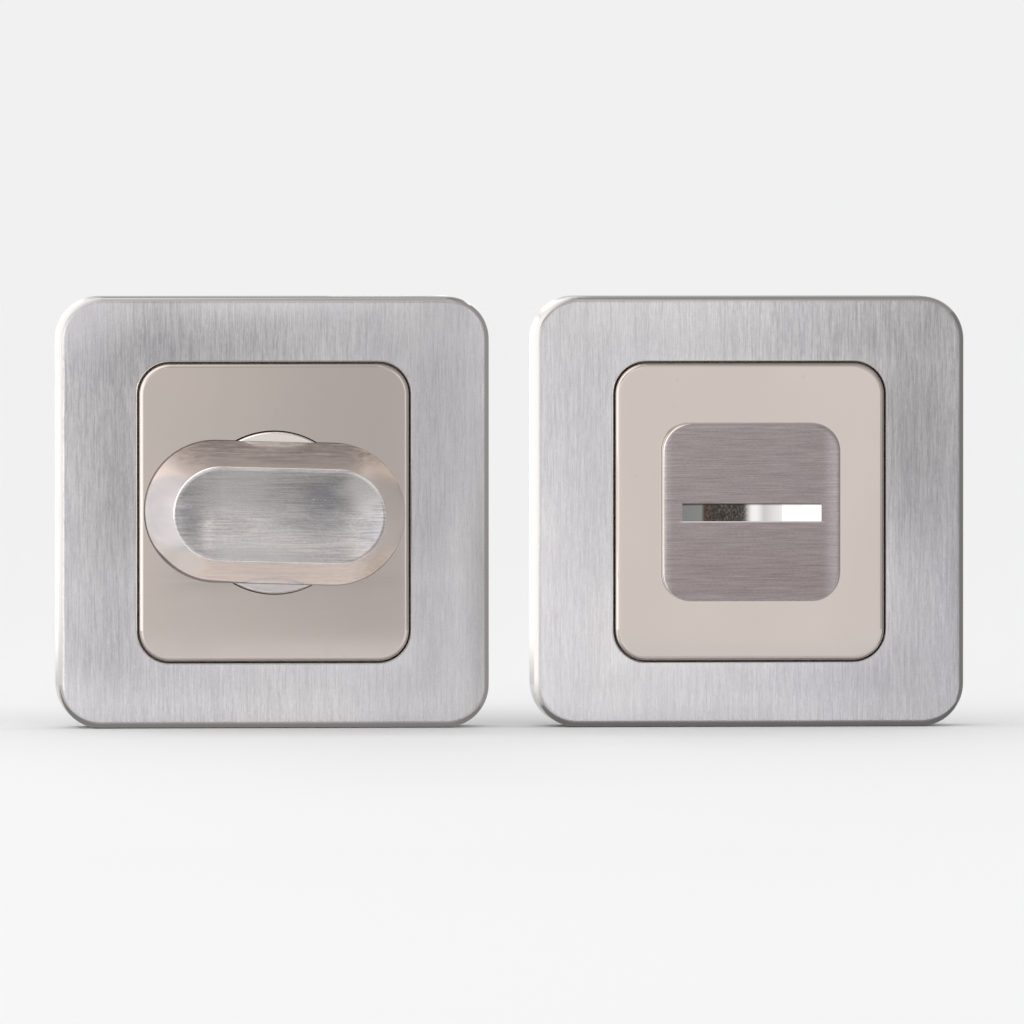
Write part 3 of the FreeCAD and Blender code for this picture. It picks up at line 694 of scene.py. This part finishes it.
def crossRadius(angle):
    c, s = abs(math.cos(angle)) + 1e-9, abs(math.sin(angle)) + 1e-9
    length, width = crossRecess["halfLength"], crossRecess["halfWidth"]
    return max(min(length / c, width / s), min(length / s, width / c))


def threadShare(phase, look):
    # 1 on the crest, 0 in the root
    away = abs((phase + 0.5) % 1.0 - 0.5)
    return max(0.0, min(1.0, (look["crestShare"] / 2 + look["flankShare"] - away) / look["flankShare"]))


def threadRows(look, start, end, angles):
    # rows of radii from depth start to depth end; the thread fades in, and its root and crest taper at the tip
    count = round((end - start) / look["pitch"] * look["rowsPerTurn"])
    rows = []
    for i in range(count + 1):
        depth = start + (end - start) * i / count
        fadeIn = min(1.0, (depth - start) / look["pitch"])
        taper = min(1.0, (end - depth) / look["tip"] + tipShare)
        row = []
        for angle in angles:
            share = threadShare(depth / look["pitch"] - angle / (2 * math.pi), look)
            height = (look["crest"] - look["root"]) * (share if fadeIn == 1.0 else 1 - fadeIn * (1 - share))
            row.append((look["root"] + height) * taper)
        rows.append((depth, row))
    return rows


def recessRows(angles, headTop):
    cross = [crossRadius(a) for a in angles]
    floor = [r * crossRecess["floorShare"] for r in cross]
    return [(headTop + crossRecess["depth"], floor), (headTop, cross)]


def plainRow(depth, radius, angles):
    return depth, [radius] * len(angles)


def boltRows(look, headTop, end, angles):
    rows = recessRows(angles, headTop)
    for i in range(5):
        bend = math.pi / 2 * i / 4
        rows.append(plainRow(headTop + look["headRound"] * (1 - math.sin(bend)),
                             look["headRadius"] - look["headRound"] * (1 - math.cos(bend)), angles))
    rows[2:] = rows[:1:-1]                       # from the flat top outwards to the side
    seat = headTop + look["headHeight"]
    rows += [plainRow(seat, look["headRadius"], angles), plainRow(seat, look["shoulderRadius"], angles),
             plainRow(seat + look["shoulderLength"], look["shoulderRadius"], angles)]
    return rows + threadRows(look, seat + look["shoulderLength"] + look["threadGap"], end, angles)


def woodScrewRows(look, headTop, end, angles):
    rows = recessRows(angles, headTop)
    under = headTop + look["headEdge"] + look["headRadius"] - look["shankRadius"]
    rows += [plainRow(headTop, look["headRadius"], angles),
             plainRow(headTop + look["headEdge"], look["headRadius"], angles),
             plainRow(under, look["shankRadius"], angles),
             plainRow(under + look["shankLength"], look["shankRadius"], angles)]
    return rows + threadRows(look, under + look["shankLength"] + look["threadGap"], end, angles)


def addScrew(mesh, x, z, rows, angles):
    rings = []
    for depth, radii in rows:
        ring = []
        for angle, radius in zip(angles, radii):
            spot = Vector((x + radius * mm * math.cos(angle), depth * mm, z + radius * mm * math.sin(angle)))
            ring.append(mesh.verts.new(spot))
        rings.append(ring)
    count = len(angles)
    for first, second in zip(rings, rings[1:]):
        for j in range(count):
            mesh.faces.new((first[j], first[(j + 1) % count], second[(j + 1) % count], second[j]))
    for ring, depth in ((rings[0], rows[0][0]), (rings[-1], rows[-1][0])):
        middle = mesh.verts.new((x, depth * mm, z))
        for j in range(count):
            mesh.faces.new((ring[j], ring[(j + 1) % count], middle))


def placeScrews(node, name, look, makeRows):
    low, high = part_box(node)
    angles = screwAngles()
    rows = makeRows(look, low.y / mm, high.y / mm, angles)
    mesh = bmesh.new()
    head = look["headRadius"] * mm
    spots = [(low.x + head, low.z + head), (high.x - head, high.z - head)]
    for x, z in spots:
        addScrew(mesh, x, z, rows, angles)
    bmesh.ops.recalc_face_normals(mesh, faces=mesh.faces)
    data = bpy.data.meshes.new(name)
    mesh.to_mesh(data)
    mesh.free()
    data.shade_smooth()
    data.set_sharp_from_angle(angle=math.radians(sharpAngle))
    data.materials.append(finishes["platedSteel"])
    piece = bpy.data.objects.new(name, data)
    bpy.context.scene.collection.objects.link(piece)
    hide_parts(node)
    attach(piece, "roses")
    print(name, len(data.polygons), "faces")


placeScrews(boltLook["node"], boltLook["name"], boltLook, boltRows)
for node, name in zip(woodScrewLook["nodes"], woodScrewLook["names"]):
    placeScrews(node, name, woodScrewLook, woodScrewRows)


# Camera, at the photograph's angle: slightly from the left and from above, through a long lens

cameraLook = dict(azimuth=-4.0, elevation=1.5, distance=1.8, frameWidth=123.5 * mm, sensor=36.0)


def makeCamera():
    look = cameraLook
    data = bpy.data.cameras.new("camera")
    data.sensor_width = look["sensor"]
    data.lens = look["sensor"] * look["distance"] / look["frameWidth"]
    data.clip_end = 20.0
    camera = bpy.data.objects.new("camera", data)
    bpy.context.scene.collection.objects.link(camera)
    aim = Vector((lockMiddle.x, frameFace, lockMiddle.z))
    azimuth = math.radians(look["azimuth"])
    elevation = math.radians(look["elevation"])
    out = Vector((math.sin(azimuth) * math.cos(elevation), -math.cos(azimuth) * math.cos(elevation),
                  math.sin(elevation)))
    camera.location = aim + out * look["distance"]
    camera.rotation_euler = (-out).to_track_quat("-Z", "Y").to_euler()
    bpy.context.scene.camera = camera


makeCamera()
print("camera placed")


# Floor, world and lights

studio = dict(
    floorColour=(0.86, 0.86, 0.865), floorReach=4.0, floorRoughness=0.8, floorGloss=0.2, floorDrop=0.02 * mm,
    backdrop=(0.88, 0.88, 0.885), diffuseLevel=1.16,
    tentRadius=0.30, tentWidth=150.0, tentLow=-5.0, tentHigh=86.0,
    softboxPlace=(-0.35, -0.55, 0.65), softboxSize=0.5, softboxPower=0.5,
)
# how bright the light tent is round the lock, by degrees to the right of its front
tentRound = [
    (-150, 1.95), (-70, 1.90), (-55, 1.60), (-28, 1.35), (-14, 0.95), (-5.5, 0.80), (0.8, 0.63), (5.5, 0.97),
    (14, 1.0), (17.5, 0.62), (45, 0.62), (75, 0.50), (150, 0.45),
]
# and by degrees above it
tentUp = [(-5, 1.0), (12, 1.0), (40, 0.95), (65, 0.90), (90, 0.70)]


def strip(near, far, stations):
    # a reflection card: its two long edges as depth in front of the covers and height, and its levels along x
    return [[(x, *edge, level) for x, level in stations] for edge in (near, far)]


def upright(x, depths, stations):
    # the same, standing at one x, with its levels by height
    return [[(x, depth, height, level) for depth in depths] for height, level in stations]


backDepth = -110                # how far behind the covers' front the back cards stand


def behind(places, stations):
    # the same, standing behind the covers, with its levels by height
    return [[(x, backDepth, height, level) for x in places] for height, level in stations]


# the upper edges' light, brightest over the left corner of each cover
edgeLevels = [(-60, 2.0), (-26, 1.9), (-20, 0.6), (26, 0.6), (28, 2.0), (33, 1.9), (39, 0.6), (110, 0.6)]
# and the left edges' light, which fades towards the floor
sideLevels = [(-26, 0.72), (-23.8, 0.80), (-19, 1.5), (-13, 1.9), (30.5, 2.0)]
# reflection cards, in millimetres
cards = {
    "leftBounce": strip((41, -28), (41, 28), [(-58, 1.7), (-35, 1.7)]),
    "rightFill": strip((51, -40), (51, 40), [(32, 1.22), (45, 1.22)]),
    "topShade": strip((60, 36), (60, 58), [(-70, 0.95), (-38, 0.85), (-9, 0.54), (24, 0.54), (48, 0.75), (110, 0.8)]),
    "floorStrip": strip((20, -25.5), (38, -25.5), [(-45, 1.04), (45, 1.04)]),
    "floorNear": strip((-4, -25.9), (2.5, -25.9), [(-60, 0.38), (28, 0.38), (34, 0.26), (120, 0.26)]),
    "dishShade": strip((20, -8.8), (150, -12.8), [(-9, 0.48), (19, 0.48)]),
    "backLeft": behind((-48, -27), sideLevels),
    "backMiddle": behind((13, 31), sideLevels),
    "backTop": strip((backDepth, 30.5), (backDepth, 60), edgeLevels),
    "overTop": strip((-2, 31), (-40, 31), edgeLevels),
    "gapRight": upright(28.9, (-8, 3), [(-26, 0.6), (-20, 1.9), (22, 1.9), (36, 1.5)]),
    "gapLeft": upright(28.6, (-8, 3), [(-26, 0.50), (36, 0.50)]),
    "rightSide": upright(90, (-14, 8), [(-26, 0.34), (30, 0.34)]),
}


def stageObject(name, mesh, material):
    data = bpy.data.meshes.new(name)
    mesh.to_mesh(data)
    mesh.free()
    data.materials.append(material)
    thing = bpy.data.objects.new(name, data)
    bpy.context.scene.collection.objects.link(thing)
    return thing


def onlyInReflections(thing):
    thing.visible_camera = False
    thing.visible_diffuse = False
    thing.visible_transmission = False
    thing.visible_volume_scatter = False
    thing.visible_shadow = False


def glowMaterial(name):
    material = bpy.data.materials.new(name)
    material.use_nodes = True
    tree = material.node_tree
    tree.nodes.clear()
    emission = addNode(tree, "ShaderNodeEmission", Color=(1.0, 0.985, 0.97, 1.0))
    output = tree.nodes.new("ShaderNodeOutputMaterial")
    wire(tree, emission.outputs[0], output.inputs["Surface"])
    material.cycles.emission_sampling = "NONE"
    return material, tree, emission


def makeTentLight():
    material, tree, emission = glowMaterial("tentLight")
    x, y, z = placeParts(tree, tree.nodes.new("ShaderNodeTexCoord").outputs["Object"])
    around = mathNode(tree, "DEGREES", mathNode(tree, "ARCTAN2", x, times(tree, y, -1.0)))
    flat = mathNode(tree, "SQRT", mathNode(tree, "ADD", times(tree, x, x), times(tree, y, y)))
    up = mathNode(tree, "DEGREES", mathNode(tree, "ARCTAN2", z, flat))
    aroundLevel = rampFrom(tree, around, tentRound, -180, 180)
    upLevel = rampFrom(tree, up, tentUp, -20, 100)
    wire(tree, times(tree, aroundLevel, upLevel, 4.0), emission.inputs["Strength"])     # both ramps are halved
    return material


def makeTent():
    look = studio
    mesh = bmesh.new()
    steps, rises = 120, 36
    rows = []
    for i in range(rises + 1):
        up = math.radians(look["tentLow"] + (look["tentHigh"] - look["tentLow"]) * i / rises)
        row = []
        for j in range(steps + 1):
            turn = math.radians(-look["tentWidth"] + 2 * look["tentWidth"] * j / steps)
            spot = Vector((math.sin(turn) * math.cos(up), -math.cos(turn) * math.cos(up), math.sin(up)))
            row.append(mesh.verts.new(spot * look["tentRadius"]))
        rows.append(row)
    for below, above in zip(rows, rows[1:]):
        for j in range(steps):
            mesh.faces.new((below[j], below[j + 1], above[j + 1], above[j]))
    tent = stageObject("lightTent", mesh, makeTentLight())
    tent.location = Vector((lockMiddle.x, frameFace, lockMiddle.z))
    onlyInReflections(tent)


def makeCards():
    material, tree, emission = glowMaterial("cardLight")
    glow = addNode(tree, "ShaderNodeAttribute", attribute_name="glow")
    wire(tree, glow.outputs["Fac"], emission.inputs["Strength"])
    for name, rows in cards.items():
        mesh = bmesh.new()
        level = mesh.verts.layers.float.new("glow")
        corners = []
        for row in rows:
            corners.append([])
            for x, depth, height, glowLevel in row:
                corner = mesh.verts.new((x * mm, frameFace - depth * mm, height * mm))
                corner[level] = glowLevel
                corners[-1].append(corner)
        for low, high in zip(corners, corners[1:]):
            for i in range(len(low) - 1):
                mesh.faces.new((low[i], low[i + 1], high[i + 1], high[i]))
        onlyInReflections(stageObject(name, mesh, material))


def makeFloor():
    look = studio
    material = bpy.data.materials.new("paleFloor")
    material.use_nodes = True
    tree = material.node_tree
    shader = tree.nodes["Principled BSDF"]
    shader.inputs["Roughness"].default_value = look["floorRoughness"]
    shader.inputs["Specular IOR Level"].default_value = look["floorGloss"]
    shader.inputs["Base Color"].default_value = (*look["floorColour"], 1.0)
    clear = tree.nodes.new("ShaderNodeBsdfTransparent")     # seen from below, the floor lets the view through
    under = tree.nodes.new("ShaderNodeNewGeometry").outputs["Backfacing"]
    mix = tree.nodes.new("ShaderNodeMixShader")
    for source, target in zip((under, shader.outputs[0], clear.outputs[0]), mix.inputs):
        wire(tree, source, target)
    wire(tree, mix.outputs[0], tree.nodes["Material Output"].inputs["Surface"])
    reach = look["floorReach"]
    mesh = bmesh.new()
    corners = ((-1, -1), (1, -1), (1, 1), (-1, 1))
    mesh.faces.new([mesh.verts.new((x * reach, y * reach, 0)) for x, y in corners])
    floor = stageObject("floor", mesh, material)
    floor.location = (lockMiddle.x, 0, floorLevel - look["floorDrop"])


def makeWorld():
    look = studio
    world = bpy.data.worlds.new("studio")
    bpy.context.scene.world = world
    world.use_nodes = True
    world.cycles.sampling_method = "NONE"
    tree = world.node_tree
    back = tree.nodes["Background"]
    back.inputs["Color"].default_value = (*look["backdrop"], 1.0)
    rays = tree.nodes.new("ShaderNodeLightPath").outputs
    seen = mathNode(tree, "MAXIMUM", rays["Is Camera Ray"], rays["Is Glossy Ray"])
    seen = mathNode(tree, "MAXIMUM", seen, rays["Is Transmission Ray"])
    wire(tree, mixValue(tree, seen, look["diffuseLevel"], 1.0), back.inputs["Strength"])


def makeSoftbox():
    look = studio
    light = bpy.data.lights.new("keySoftbox", "AREA")
    light.size = look["softboxSize"]
    light.energy = look["softboxPower"]
    box = bpy.data.objects.new("keySoftbox", light)
    box.location = look["softboxPlace"]
    box.rotation_euler = (lockMiddle - Vector(look["softboxPlace"])).to_track_quat("-Z", "Y").to_euler()
    bpy.context.scene.collection.objects.link(box)
    box.visible_camera = False
    box.visible_glossy = False


makeTent()
makeCards()
makeFloor()
makeWorld()
makeSoftbox()
bpy.context.scene.view_settings.view_transform = "Standard"
print("studio lit")
